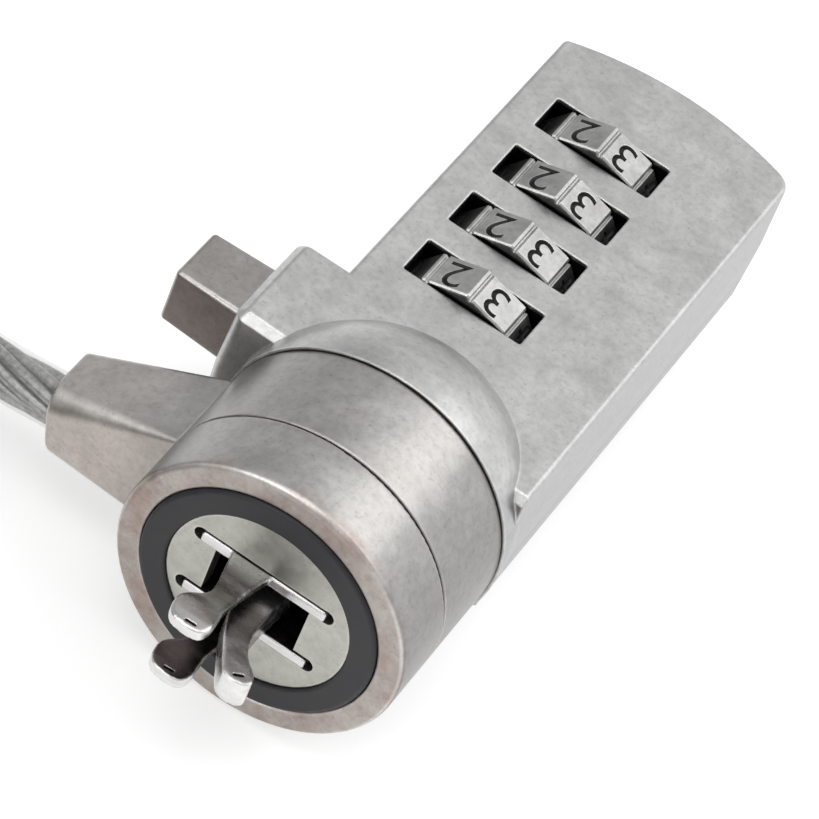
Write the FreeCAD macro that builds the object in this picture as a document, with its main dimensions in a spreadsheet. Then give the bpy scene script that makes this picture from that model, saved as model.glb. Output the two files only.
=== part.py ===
import FreeCAD, Part
import math
import os
import re
import Sketcher

# Combination cable lock with a scissor head for a 3 x 7 mm security slot.
# Origin: centre of the head on the seat plane (front of the rubber washer).
# +Y runs along the nose axis towards the tail, +X to the right, +Z towards the dials.

os.makedirs("parts", exist_ok=True)
V = FreeCAD.Vector
doc = FreeCAD.newDocument("cable_lock")

# ---------------------------------------------------------------- driving dimensions, mm and degrees
DIMENSIONS = {
    # nose
    "nose_radius": 11.0, "ring_front": 0.2, "ring_rear": 5.75, "collar_front": 5.87, "collar_rear": 13.4,
    "neck_radius": 8.3, "neck_front": 2.75, "neck_bore": 6.6, "collar_bore": 8.38, "ring_bore": 8.33,
    "washer_inner": 7.05, "washer_outer": 9.05, "pocket_radius": 9.08, "washer_back": 1.7,
    "web_rear": 2.7, "web_bore": 6.0, "disc_radius": 7.0, "disc_front": 0.25,
    "dome_radius": 11.2, "dome_front": 13.52, "dome_y": 13.55, "edge_round": 0.45,
    # housing
    "house_left": -9.3, "house_right": 10.6, "house_front": 15.15, "house_end": 55.4, "crown_rise": 1.95,
    "house_top": 5.88, "house_bottom": -6.0, "draft": 1.5, "ear_left": -13.3, "ear_rear": 24.65,
    "corner_round": 1.7, "corner_small": 0.6, "ear_round": 0.9, "front_bevel": 0.6, "top_round": 0.3,
    "bottom_round": 0.55,
    "cavity_left": -7.85, "cavity_right": 9.1, "cavity_front": 25.3, "cavity_rear": 54.3,
    "cavity_top": 4.78, "cover_gap": 0.1, "cover_thick": 1.05, "post_reach": 2.55,
    "chamber_left": -9.5, "chamber_right": 7.0, "chamber_front": 15.9, "chamber_rear": 24.0,
    "chamber_floor": -2.5, "chamber_roof": 3.4, "passage_half": 4.7,
    # dials
    "dial_x": -1.7, "dial_z": 1.1, "dial_radius": 5.8, "dial_width": 3.3, "dial_first": 28.96,
    "dial_pitch": 6.27, "dial_edge": 0.25, "window_left": -6.55, "window_right": 3.15,
    "window_width": 3.72, "window_corner": 0.2, "hub_outer": 3.4, "hub_length": 5.9, "hub_recess": 3.6,
    "hub_inner": 2.75, "shaft_radius": 1.8, "shaft_clear": 0.08, "lug_width": 1.3, "lug_reach": 2.6,
    "lug_start": 1.6, "shaft_front": 21.6, "journal_radius": 1.2, "journal_front": 50.9,
    "journal_rear": 54.6,
    # head
    "hook_z": 2.6, "hook_thick": 0.85, "slot_left": -5.2, "slot_right": 4.65, "slot_height": 1.1,
    "slot_end": 0.58, "gap_left": -3.9, "gap_right": 3.5, "pivot_x": -0.3, "pivot_y": 9.25,
    "pivot_radius": 1.0, "carrier_radius": 6.55, "carrier_rear": 13.35, "channel_half": 5.2,
    "channel_high": 3.08, "blade_thick": 2.4, "blade_hub": 2.3, "knob_x": -1.9, "knob_y": 19.85,
    "knob_radius": 1.2,
    # button
    "button_tip": -18.75, "button_y": 20.3, "button_z": 0.62, "button_wide": 5.45, "button_high": 5.35,
    "button_inner": -8.1, "flange_wide": 7.0, "flange_left": -9.35, "button_clear": 0.13,
    "button_taper": 2.1, "button_travel": 3.1, "shaft_travel": 2.0, "ramp_x": -3.25, "ramp_y": 20.4,
    "ramp_rear": 22.6, "tongue_front": 18.3, "tongue_floor": -1.3, "tongue_roof": 2.9,
    # boss and cable
    "boss_tilt": 12.8, "boss_reach": 20.4, "boss_root": 9.6, "root_half": 4.74, "tip_half": 3.2,
    "boss_front": 6.05, "boss_rear": 11.55, "cable_radius": 2.1, "cable_y": 8.75, "ferrule_radius": 2.45,
    "ferrule_start": 8.9, "ferrule_end": 14.0,
    "floor": -11.2, "coil_x": -58.0, "coil_y": -18.0, "coil_turn": 29.4, "coil_pitch": 4.2,
    "tie_thick": 0.5, "tie_width": 4.0, "eye_half": 17.5, "eye_length": 17.5, "eye_ferrule_length": 12.0,
    "tail_radius": 17.0,
}

sheet = doc.addObject("Spreadsheet::Sheet", "Dims")
for row, (alias, number) in enumerate(DIMENSIONS.items(), start=1):
    sheet.set("A%d" % row, alias.replace("_", " "))
    sheet.set("B%d" % row, str(number))
    sheet.setAlias("B%d" % row, alias)
doc.recompute()

ALIAS = re.compile(r"\b(" + "|".join(sorted(DIMENSIONS, key=len, reverse=True)) + r")\b")
PARTS = []


def size(alias):
    """A sheet value, for shapes that are made with Part's own functions."""
    return float(sheet.get(alias))


def bind(obj, prop, formula):
    """Ties a property to a formula of sheet aliases."""
    obj.setExpression(prop, ALIAS.sub(r"Dims.\1", str(formula)))


def value_of(formula):
    """The number that a formula of sheet aliases gives now."""
    return float(sheet.evalExpression(str(formula)))


def place(obj, x, y, z):
    bind(obj, "Placement.Base.x", x)
    bind(obj, "Placement.Base.y", y)
    bind(obj, "Placement.Base.z", z)


def keep(obj, name):
    """Marks an object as the finished sub-part of that name."""
    obj.Label = name
    PARTS.append(obj)
    return obj


TURNS = {
    "+Z": FreeCAD.Rotation(),
    "+Y": FreeCAD.Rotation(V(1, 0, 0), -90),
    "+X": FreeCAD.Rotation(V(0, 1, 0), 90),
    "-X": FreeCAD.Rotation(V(0, 1, 0), -90),
}


# ---------------------------------------------------------------- Part primitives and booleans
def box(name, x0, x1, y0, y1, z0, z1):
    obj = doc.addObject("Part::Box", name)
    bind(obj, "Length", "(%s) - (%s)" % (x1, x0))
    bind(obj, "Width", "(%s) - (%s)" % (y1, y0))
    bind(obj, "Height", "(%s) - (%s)" % (z1, z0))
    place(obj, x0, y0, z0)
    return obj


def rod(name, radius, length, x, y, z, axis="+Y"):
    obj = doc.addObject("Part::Cylinder", name)
    bind(obj, "Radius", radius)
    bind(obj, "Height", length)
    obj.Placement = FreeCAD.Placement(V(), TURNS[axis])
    place(obj, x, y, z)
    return obj


def cone(name, radius1, radius2, length, x, y, z, axis="+Z"):
    obj = doc.addObject("Part::Cone", name)
    bind(obj, "Radius1", radius1)
    bind(obj, "Radius2", radius2)
    bind(obj, "Height", length)
    obj.Placement = FreeCAD.Placement(V(), TURNS[axis])
    place(obj, x, y, z)
    return obj


def cut(name, base, tool):
    obj = doc.addObject("Part::Cut", name)
    obj.Base = base
    obj.Tool = tool
    return obj


def fuse(name, shapes):
    obj = doc.addObject("Part::MultiFuse", name)
    obj.Shapes = shapes
    return obj


def group(name, shapes):
    obj = doc.addObject("Part::Compound", name)
    obj.Links = shapes
    return obj


# ---------------------------------------------------------------- PartDesign helpers
def new_body(name):
    return keep(doc.addObject("PartDesign::Body", name), name)


def sketch_on(body, name, plane, at="0"):
    """A sketch on one of the body's own origin planes, at a coordinate along the plane's axis."""
    sketch = body.newObject("Sketcher::SketchObject", name)
    support = [item for item in body.Origin.OriginFeatures if item.Role == plane + "_Plane"][0]
    sketch.AttachmentSupport = (support, [""])
    sketch.MapMode = "FlatFace"
    bind(sketch, "AttachmentOffset.Base.z", "0 - (%s)" % at if plane == "XZ" else at)
    return sketch


def pin_point(sketch, geometry, end, x, y):
    """Holds one end (or the centre) of a curve at formulas for its sketch coordinates."""
    start = sketch.ConstraintCount
    sketch.addConstraint(Sketcher.Constraint("DistanceX", -1, 1, geometry, end, value_of(x)))
    sketch.addConstraint(Sketcher.Constraint("DistanceY", -1, 1, geometry, end, value_of(y)))
    bind(sketch, "Constraints[%d]" % start, x)
    bind(sketch, "Constraints[%d]" % (start + 1), y)


def set_radius(sketch, geometry, radius):
    start = sketch.ConstraintCount
    sketch.addConstraint(Sketcher.Constraint("Radius", geometry, value_of(radius)))
    bind(sketch, "Constraints[%d]" % start, radius)


def outline(sketch, corners):
    """A closed outline of straight lines through corners given as formula pairs."""
    points = [V(value_of(x), value_of(y), 0) for x, y in corners]
    count = len(points)
    first = sketch.GeometryCount
    for index in range(count):
        sketch.addGeometry(Part.LineSegment(points[index], points[(index + 1) % count]))
    for index in range(count):
        follower = first + (index + 1) % count
        sketch.addConstraint(Sketcher.Constraint("Coincident", first + index, 2, follower, 1))
    for index, (x, y) in enumerate(corners):
        pin_point(sketch, first + index, 1, x, y)


def rectangle(sketch, x0, x1, y0, y1):
    outline(sketch, [(x0, y0), (x1, y0), (x1, y1), (x0, y1)])


def circle(sketch, x, y, radius):
    where = V(value_of(x), value_of(y), 0)
    geometry = sketch.addGeometry(Part.Circle(where, V(0, 0, 1), value_of(radius)))
    set_radius(sketch, geometry, radius)
    pin_point(sketch, geometry, 3, x, y)


def rounded(sketch, x0, x1, y0, y1, radii):
    """A rectangle with its own radius at each corner, from (x0, y0) anticlockwise."""
    signs = [(x0, y0, 1, 1), (x1, y0, -1, 1), (x1, y1, -1, -1), (x0, y1, 1, -1)]
    entry = []
    leave = []
    for index, (x, y, right, up) in enumerate(signs):
        along_x = ("(%s) + %d * (%s)" % (x, right, radii[index]), y)
        along_y = (x, "(%s) + %d * (%s)" % (y, up, radii[index]))
        entry.append(along_y if index % 2 == 0 else along_x)
        leave.append(along_x if index % 2 == 0 else along_y)
    numbers = [[V(value_of(a), value_of(b), 0) for a, b in row] for row in (entry, leave)]
    first = sketch.GeometryCount
    for index in range(4):
        sketch.addGeometry(Part.LineSegment(numbers[1][index], numbers[0][(index + 1) % 4]))
    for index, (x, y, right, up) in enumerate(signs):
        radius = value_of(radii[index])
        centre = V(value_of(x) + right * radius, value_of(y) + up * radius, 0)
        start_angle = math.pi * (1 + index / 2)
        ring = Part.Circle(centre, V(0, 0, 1), radius)
        sketch.addGeometry(Part.ArcOfCircle(ring, start_angle, start_angle + math.pi / 2))
    for index in range(4):
        arc = first + 4 + index
        sketch.addConstraint(Sketcher.Constraint("Coincident", arc, 2, first + index, 1))
        follower = first + 4 + (index + 1) % 4
        sketch.addConstraint(Sketcher.Constraint("Coincident", first + index, 2, follower, 1))
        pin_point(sketch, first + index, 1, *leave[index])
        pin_point(sketch, first + index, 2, *entry[(index + 1) % 4])
    for index in range(4):
        set_radius(sketch, first + 4 + index, radii[index])


def pad(body, name, sketch, length, towards_plus=True, taper=None, both=False):
    """Adds a prism; the XZ plane's own normal points to -Y."""
    feature = body.newObject("PartDesign::Pad", name)
    feature.Profile = sketch
    bind(feature, "Length", length)
    downward = sketch.AttachmentSupport[0][0].Role == "XZ_Plane"
    feature.Reversed = towards_plus if downward else not towards_plus
    feature.Midplane = both
    if taper:
        bind(feature, "TaperAngle", taper)
    body.Tip = feature
    doc.recompute()
    return feature


def must_shrink(body, before, name):
    if body.Shape.Volume >= before - 1e-6:
        raise RuntimeError("%s cut nothing" % name)


def pocket(body, name, sketch, length, towards_plus=True, both=False):
    """Cuts a prism and checks that it really took material away."""
    before = body.Shape.Volume
    feature = body.newObject("PartDesign::Pocket", name)
    feature.Profile = sketch
    bind(feature, "Length", length)
    downward = sketch.AttachmentSupport[0][0].Role == "XZ_Plane"
    feature.Reversed = not towards_plus if downward else towards_plus
    feature.Midplane = both
    body.Tip = feature
    doc.recompute()
    must_shrink(body, before, name)
    return feature


def revolve(body, name, sketch, kind="Revolution"):
    """Turns a sketch on the XY plane about the nose axis."""
    feature = body.newObject("PartDesign::" + kind, name)
    feature.Profile = sketch
    feature.ReferenceAxis = (sketch, ["V_Axis"])
    feature.Angle = 360
    body.Tip = feature
    doc.recompute()
    return feature


def box_feature(body, kind, name, x0, x1, y0, y1, z0, z1):
    before = body.Shape.Volume
    feature = body.newObject("PartDesign::%sBox" % kind, name)
    bind(feature, "Length", "(%s) - (%s)" % (x1, x0))
    bind(feature, "Width", "(%s) - (%s)" % (y1, y0))
    bind(feature, "Height", "(%s) - (%s)" % (z1, z0))
    place(feature, x0, y0, z0)
    body.Tip = feature
    doc.recompute()
    if kind == "Subtractive":
        must_shrink(body, before, name)
    return feature


def rod_feature(body, kind, name, radius, length, x, y, z, axis="+Y"):
    before = body.Shape.Volume
    feature = body.newObject("PartDesign::%sCylinder" % kind, name)
    bind(feature, "Radius", radius)
    bind(feature, "Height", length)
    feature.Placement = FreeCAD.Placement(V(), TURNS[axis])
    place(feature, x, y, z)
    body.Tip = feature
    doc.recompute()
    if kind == "Subtractive":
        must_shrink(body, before, name)
    return feature


def dress(body, kind, name, wanted, amount):
    """A fillet or chamfer on the edges that a rule picks."""
    base = body.Tip
    names = ["Edge%d" % (n + 1) for n, edge in enumerate(base.Shape.Edges) if wanted(edge)]
    if not names:
        raise RuntimeError("no edges for %s" % name)
    feature = body.newObject("PartDesign::" + kind, name)
    feature.Base = (base, names)
    bind(feature, "Radius" if kind == "Fillet" else "Size", amount)
    body.Tip = feature
    doc.recompute()
    return feature


def level(edge, z, reach=0.02):
    """True for an edge that lies wholly at one height."""
    return abs(edge.BoundBox.ZMin - z) < reach and abs(edge.BoundBox.ZMax - z) < reach


def ring_edge(edge, radius, y, reach=0.03):
    """True for a full or part circle about the nose axis at a place along it."""
    if edge.Curve.TypeId != "Part::GeomCircle":
        return False
    return abs(edge.Curve.Radius - radius) < reach and abs(edge.Curve.Center.y - y) < reach


# ---------------------------------------------------------------- housing
def make_housing():
    body = new_body("housing")
    plan = sketch_on(body, "housing_plan", "XY")
    left, right = size("house_left"), size("house_right")
    front, end, rise = size("house_front"), size("house_end"), size("crown_rise")
    ear, ear_rear = size("ear_left"), size("ear_rear")
    corners = [
        V(ear, front), V(right, front), V(right, end), V(left, end), V(left, ear_rear), V(ear, ear_rear),
    ]
    plan.addGeometry(Part.LineSegment(corners[0], corners[1]))
    plan.addGeometry(Part.LineSegment(corners[1], corners[2]))
    plan.addGeometry(Part.Arc(corners[2], V((left + right) / 2, end + rise, 0), corners[3]))
    plan.addGeometry(Part.LineSegment(corners[3], corners[4]))
    plan.addGeometry(Part.LineSegment(corners[4], corners[5]))
    plan.addGeometry(Part.LineSegment(corners[5], corners[0]))
    for index in range(6):
        plan.addConstraint(Sketcher.Constraint("Coincident", index, 2, (index + 1) % 6, 1))
    pin_point(plan, 0, 1, "ear_left", "house_front")
    pin_point(plan, 1, 1, "house_right", "house_front")
    pin_point(plan, 1, 2, "house_right", "house_end")
    pin_point(plan, 3, 1, "house_left", "house_end")
    pin_point(plan, 4, 1, "house_left", "ear_rear")
    pin_point(plan, 5, 1, "ear_left", "ear_rear")
    set_radius(plan, 2, "(((house_right - house_left) / 2)^2 + crown_rise^2) / (2 * crown_rise)")
    doc.recompute()
    pad(body, "upper_half", plan, "house_top", taper="0 - draft")
    pad(body, "lower_half", plan, "0 - house_bottom", towards_plus=False, taper="0 - draft")

    def far_corner(edge, side):
        reach = edge.BoundBox
        return reach.YMin > end - 1.5 and reach.ZLength > 5 and reach.XMin * side > 0

    def ear_corner(edge):
        return edge.BoundBox.XMax < ear + 0.4 and edge.BoundBox.ZLength > 5

    def front_top(edge):
        return level(edge, size("house_top")) and edge.BoundBox.YMax < front + 0.5

    dress(body, "Fillet", "far_right_corner", lambda edge: far_corner(edge, 1), "corner_round")
    dress(body, "Fillet", "far_left_corner", lambda edge: far_corner(edge, -1), "corner_small")
    dress(body, "Fillet", "ear_corners", ear_corner, "ear_round")
    dress(body, "Chamfer", "front_edge", front_top, "front_bevel")
    dress(body, "Fillet", "top_edges", lambda edge: level(edge, size("house_top")), "top_round")
    dress(body, "Fillet", "bottom_edges", lambda edge: level(edge, size("house_bottom")), "bottom_round")

    profile = sketch_on(body, "nose_profile", "XY")
    neck, dome, dome_y = size("neck_radius"), size("dome_radius"), size("dome_y")
    neck_front, dome_front = size("neck_front"), size("dome_front")
    points = [
        V(0, neck_front), V(neck, neck_front), V(neck, dome_front), V(dome, dome_front), V(dome, dome_y),
    ]
    for start, stop in zip(points, points[1:]):
        profile.addGeometry(Part.LineSegment(start, stop))
    middle = V(dome * math.sin(math.pi / 4), dome_y + dome * math.cos(math.pi / 4), 0)
    profile.addGeometry(Part.Arc(points[-1], middle, V(0, dome_y + dome, 0)))
    profile.addGeometry(Part.LineSegment(V(0, dome_y + dome, 0), points[0]))
    for index in range(6):
        profile.addConstraint(Sketcher.Constraint("Coincident", index, 2, (index + 1) % 6, 1))
    pin_point(profile, 0, 1, "0", "neck_front")
    pin_point(profile, 1, 1, "neck_radius", "neck_front")
    pin_point(profile, 2, 1, "neck_radius", "dome_front")
    pin_point(profile, 3, 1, "dome_radius", "dome_front")
    pin_point(profile, 3, 2, "dome_radius", "dome_y")
    pin_point(profile, 5, 1, "0", "dome_y + dome_radius")
    set_radius(profile, 4, "dome_radius")
    doc.recompute()
    revolve(body, "nose_and_dome", profile)

    rod_feature(body, "Subtractive", "neck_hole", "neck_bore", "carrier_rear + 0.05 - neck_front + 1",
                "0", "neck_front - 1", "0")
    box_feature(body, "Subtractive", "passage", "0 - passage_half", "passage_half", "carrier_rear - 0.1",
                "chamber_front + 0.1", "chamber_floor", "0 - chamber_floor")
    box_feature(body, "Subtractive", "front_chamber", "chamber_left", "chamber_right", "chamber_front",
                "chamber_rear", "chamber_floor", "chamber_roof")
    hole = "(button_wide / 2 + button_clear)"
    rise_half = "(button_high / 2 + button_clear)"
    box_feature(body, "Subtractive", "button_hole", "ear_left - 1", "chamber_left + 0.1",
                "button_y - " + hole, "button_y + " + hole, "button_z - " + rise_half,
                "button_z + " + rise_half)
    box_feature(body, "Subtractive", "dial_cavity", "cavity_left", "cavity_right", "cavity_front",
                "cavity_rear", "house_bottom - 1", "cavity_top")
    floor = "house_bottom + cover_thick"
    box_feature(body, "Additive", "post_right_front", "cavity_right - post_reach", "cavity_right + 0.2",
                "cavity_front - 0.2", "cavity_front + 3", floor, "cavity_top + 0.2")
    box_feature(body, "Additive", "post_right_rear", "cavity_right - post_reach", "cavity_right + 0.2",
                "cavity_rear - 3.1", "cavity_rear + 0.2", floor, "cavity_top + 0.2")
    box_feature(body, "Additive", "post_left_rear", "cavity_left - 0.2", "cavity_left + post_reach",
                "cavity_rear - 3.1", "cavity_rear + 0.2", floor, "cavity_top + 0.2")
    rod_feature(body, "Subtractive", "shaft_hole", "shaft_radius + shaft_clear",
                "cavity_front - chamber_rear + 2", "dial_x", "chamber_rear - 1", "dial_z")
    rod_feature(body, "Subtractive", "journal_hole", "journal_radius + shaft_clear",
                "shaft_travel + 1.5", "dial_x", "cavity_rear - 1", "dial_z")
    for index, (x, y) in enumerate(SCREWS):
        rod_feature(body, "Subtractive", "screw_hole_%d" % index, "0.62", "4", x, y, floor + " - 0.5", "+Z")

    window = sketch_on(body, "dial_window", "XY", "house_top + 1")
    rounded(window, "window_left", "window_right", "dial_first - window_width / 2",
            "dial_first + window_width / 2", ["window_corner"] * 4)
    doc.recompute()
    first = pocket(body, "window_cut", window, "house_top + 1.5 - cavity_top", towards_plus=False)
    pattern = body.newObject("PartDesign::LinearPattern", "window_row")
    pattern.Originals = [first]
    pattern.Direction = (window, ["V_Axis"])
    bind(pattern, "Length", "3 * dial_pitch")
    pattern.Occurrences = 4
    body.Tip = pattern
    doc.recompute()
    return body


SCREWS = [
    ("cavity_right - 1.25", "cavity_front + 1.6"),
    ("cavity_right - 1.25", "cavity_rear - 1.6"),
    ("cavity_left + 1.3", "cavity_rear - 1.6"),
]


# ---------------------------------------------------------------- nose rings, washer and face disc
def turned(name, corners):
    """A turned ring: its section in the XY plane is revolved about the nose axis."""
    body = new_body(name)
    sketch = sketch_on(body, name + "_section", "XY")
    outline(sketch, corners)
    doc.recompute()
    revolve(body, name + "_turned", sketch)
    return body


def make_front_ring():
    body = turned("front_ring", [
        ("pocket_radius", "ring_front"), ("nose_radius", "ring_front"), ("nose_radius", "ring_rear"),
        ("ring_bore", "ring_rear"), ("ring_bore", "web_rear"), ("web_bore", "web_rear"),
        ("web_bore", "washer_back"), ("pocket_radius", "washer_back"),
    ])
    dress(body, "Fillet", "rim_round",
          lambda edge: ring_edge(edge, size("nose_radius"), size("ring_front")), "edge_round")
    dress(body, "Fillet", "lip_round",
          lambda edge: ring_edge(edge, size("pocket_radius"), size("ring_front")), "0.2")
    dress(body, "Fillet", "seam_round",
          lambda edge: ring_edge(edge, size("nose_radius"), size("ring_rear")), "0.15")


def make_washer():
    body = turned("rubber_washer", [
        ("washer_inner", "0"), ("washer_outer", "0"), ("washer_outer", "washer_back"),
        ("washer_inner", "washer_back"),
    ])
    dress(body, "Fillet", "washer_round", lambda edge: ring_edge(edge, size("washer_outer"), 0), "0.3")
    dress(body, "Fillet", "washer_inner_round", lambda edge: ring_edge(edge, size("washer_inner"), 0), "0.2")


def make_face_disc():
    body = new_body("face_disc")
    blank = sketch_on(body, "disc_blank", "XZ", "disc_front")
    circle(blank, "0", "0", "disc_radius")
    doc.recompute()
    pad(body, "disc_plate", blank, "washer_back - disc_front")
    gap = sketch_on(body, "disc_gap", "XZ", "disc_front - 0.5")
    rectangle(gap, "gap_left", "gap_right", "0 - hook_z", "hook_z")
    doc.recompute()
    pocket(body, "middle_gap", gap, "washer_back - disc_front + 1")
    for index, sign in enumerate(("", "0 - ")):
        slot = sketch_on(body, "disc_slot_%d" % index, "XZ", "disc_front - 0.5")
        centre = sign + "hook_z"
        rectangle(slot, "slot_left", "slot_right", centre + " - slot_height / 2",
                  centre + " + slot_height / 2")
        doc.recompute()
        pocket(body, "hook_slot_%d" % index, slot, "washer_back - disc_front + 1")
        for side, x in enumerate(("slot_left", "slot_right")):
            rod_feature(body, "Subtractive", "slot_end_%d_%d" % (index, side), "slot_end",
                        "washer_back - disc_front + 1", x, "disc_front - 0.5", centre)


# ---------------------------------------------------------------- swivelling collar with the cable boss
def make_collar():
    body = turned("swivel_collar", [
        ("collar_bore", "collar_front"), ("nose_radius", "collar_front"), ("nose_radius", "collar_rear"),
        ("collar_bore", "collar_rear"),
    ])
    root = sketch_on(body, "boss_root_section", "YZ", "0 - boss_root")
    rounded(root, "collar_front", "collar_rear", "0 - root_half", "root_half", ["0.4", "0.5", "0.5", "0.4"])
    tip = sketch_on(body, "boss_tip_section", "YZ", "0 - boss_reach")
    rounded(tip, "boss_front", "boss_rear", "0 - tip_half", "tip_half", ["2.3", "0.8", "0.8", "2.3"])
    doc.recompute()
    loft = body.newObject("PartDesign::AdditiveLoft", "boss")
    loft.Profile = root
    loft.Sections = [tip]
    loft.Ruled = True
    body.Tip = loft
    doc.recompute()
    dress(body, "Fillet", "boss_end_round",
          lambda edge: edge.BoundBox.XMax < -size("boss_reach") + 0.01, "0.35")
    rod_feature(body, "Subtractive", "ferrule_bore", "ferrule_radius + 0.05", "ferrule_end - 5", "0 - 5",
                "cable_y", "0", "-X")
    rod_feature(body, "Subtractive", "cable_bore", "cable_radius + 0.06", "boss_reach - 4", "0 - 5",
                "cable_y", "0", "-X")
    body.Placement = FreeCAD.Placement(V(), FreeCAD.Rotation(V(0, 1, 0), 0))
    body.Placement.Rotation = FreeCAD.Rotation(V(0, 1, 0), -size("boss_tilt"))
    bind(body, "Placement.Rotation.Angle", "boss_tilt")
    bind(body, "Placement.Rotation.Axis.y", "0 - 1")

    ferrule = rod("ferrule_rod", "ferrule_radius", "ferrule_end - ferrule_start", "0", "cable_y", "0", "-X")
    tilt = FreeCAD.Rotation(V(0, 1, 0), -size("boss_tilt"))
    ferrule.Placement = FreeCAD.Placement(V(), tilt.multiply(TURNS["-X"]))
    place(ferrule, "0 - ferrule_start * cos(boss_tilt * 1deg)", "cable_y",
          "0 - ferrule_start * sin(boss_tilt * 1deg)")
    keep(ferrule, "cable_ferrule")


# ---------------------------------------------------------------- hooks and their carrier
def make_carrier():
    body = new_body("hook_carrier")
    blank = sketch_on(body, "carrier_round", "XZ", "neck_front + 0.05")
    circle(blank, "0", "0", "carrier_radius")
    rectangle(blank, "0 - channel_half", "channel_half", "0 - channel_high", "channel_high")
    doc.recompute()
    pad(body, "carrier_block", blank, "carrier_rear - neck_front - 0.05")
    rod_feature(body, "Subtractive", "pin_hole", "pivot_radius", "2 * carrier_radius", "pivot_x", "pivot_y",
                "0 - carrier_radius", "+Z")


def make_plate(name, side):
    """One of the two fixed outer hooks: a flat plate with a wide root and a narrow barbed neck."""
    body = new_body(name)
    face = sketch_on(body, name + "_face", "XY", "%s hook_z" % side)
    outline(face, [
        ("0 - 5.15", "0.08"), ("0 - 2.8", "0.08"), ("0 - 2.08", "0 - 3.45"),
        ("0 - 2.15", "0 - 3.6"), ("0 - 3.5", "0 - 4.95"), ("0 - 3.5", "0 - 6.15"), ("0 - 3.0", "0 - 7.05"),
        ("0 - 0.75", "0 - 7.15"), ("0 - 0.45", "0 - 6.55"), ("0 - 0.6", "0 - 4.15"), ("0 - 0.45", "0 - 3.45"),
        ("0.2", "0.08"), ("4.65", "0.08"), ("4.65", "12.4"), ("0 - 5.15", "12.4"),
    ])
    doc.recompute()
    pad(body, name + "_plate", face, "hook_thick", both=True)
    rod_feature(body, "Subtractive", name + "_pin_hole", "pivot_radius + 0.01", "4", "pivot_x", "pivot_y",
                "%s hook_z - 2" % side, "+Z")

    def tip_edge(edge):
        reach = edge.BoundBox
        return reach.YMax < -3.7 and reach.ZLength < 0.01 and reach.YMin < -4.2

    dress(body, "Chamfer", name + "_bevel", tip_edge, "0.14")


def make_centre_hook():
    body = new_body("centre_hook")
    face = sketch_on(body, "blade_face", "XY")
    outline(face, [
        ("0 - 1.05", "0.5"), ("0 - 0.82", "0 - 2.62"), ("1.6", "0 - 7.15"), ("3.5", "0 - 6.95"),
        ("3.48", "0 - 6.72"), ("2.93", "0 - 6.2"), ("3.24", "0 - 5.91"), ("2.06", "0 - 4.98"),
        ("1.42", "0 - 2.85"), ("1.6", "0 - 0.63"), ("1.75", "3.5"), ("1.5", "pivot_y"),
        ("knob_x + 0.95", "knob_y"), ("knob_x - 0.85", "knob_y"), ("0 - 2.2", "pivot_y + 3"),
        ("0 - 2.1", "pivot_y"), ("0 - 1.15", "4.5"),
    ])
    doc.recompute()
    pad(body, "blade", face, "blade_thick", both=True)
    rod_feature(body, "Additive", "blade_hub_round", "blade_hub", "blade_thick", "pivot_x", "pivot_y",
                "0 - blade_thick / 2", "+Z")
    rod_feature(body, "Additive", "tail_knob", "knob_radius", "blade_thick", "knob_x", "knob_y",
                "0 - blade_thick / 2", "+Z")
    rod_feature(body, "Subtractive", "pivot_hole", "pivot_radius + 0.04", "blade_thick + 2", "pivot_x",
                "pivot_y", "0 - blade_thick / 2 - 1", "+Z")

    def front_edge(edge):
        reach = edge.BoundBox
        return reach.ZLength < 0.01 and reach.YMax < -6 and reach.XMin > 1.4 and reach.XLength > 1.5

    dress(body, "Chamfer", "blade_bevel", front_edge, "0.15")


def make_pivot():
    keep(rod("pin_rod", "pivot_radius - 0.01", "2 * (carrier_radius - 0.8)", "pivot_x", "pivot_y",
             "0.8 - carrier_radius", "+Z"), "hook_pivot_pin")
    rings = []
    for index, z in enumerate(("blade_thick / 2 + 0.05", "0 - blade_thick / 2 - 0.05 - 0.85")):
        outer = rod("spacer_outer_%d" % index, "pivot_radius + 0.9", "0.85", "pivot_x", "pivot_y", z, "+Z")
        inner = rod("spacer_inner_%d" % index, "pivot_radius + 0.03", "3", "pivot_x", "pivot_y",
                    z + " - 1", "+Z")
        rings.append(cut("spacer_ring_%d" % index, outer, inner))
    keep(group("spacers", rings), "hook_spacers")


# ---------------------------------------------------------------- button
def make_button():
    body = new_body("push_button")
    half = "button_wide / 2"
    high = "button_high / 2"
    shank = sketch_on(body, "shank_section", "YZ", "flange_left")
    rounded(shank, "button_y - " + half, "button_y + " + half, "button_z - " + high, "button_z + " + high,
            ["0.5"] * 4)
    doc.recompute()
    pad(body, "shank", shank, "flange_left - ear_left + 0.15", towards_plus=False)
    cap = sketch_on(body, "cap_section", "YZ", "ear_left - 0.15")
    rounded(cap, "button_y - " + half, "button_y + " + half, "button_z - " + high, "button_z + " + high,
            ["0.5"] * 4)
    doc.recompute()
    pad(body, "cap", cap, "ear_left - 0.15 - button_tip", towards_plus=False, taper="0 - button_taper")
    dress(body, "Fillet", "cap_round",
          lambda edge: edge.BoundBox.XMax < size("button_tip") + 0.02, "0.35")
    box_feature(body, "Additive", "flange", "flange_left - 0.1", "button_inner", "button_y - flange_wide / 2",
                "button_y + flange_wide / 2", "chamber_floor + 0.15", "button_z + button_high / 2")
    tongue = sketch_on(body, "tongue_face", "XY", "tongue_floor")
    outline(tongue, [
        ("button_inner - 0.5", "tongue_front"), ("ramp_x", "tongue_front"), ("ramp_x", "ramp_y"),
        ("ramp_x - (ramp_rear - ramp_y) * button_travel / shaft_travel", "ramp_rear"),
        ("button_inner - 0.5", "ramp_rear"),
    ])
    doc.recompute()
    pad(body, "tongue", tongue, "tongue_roof - tongue_floor")


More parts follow.
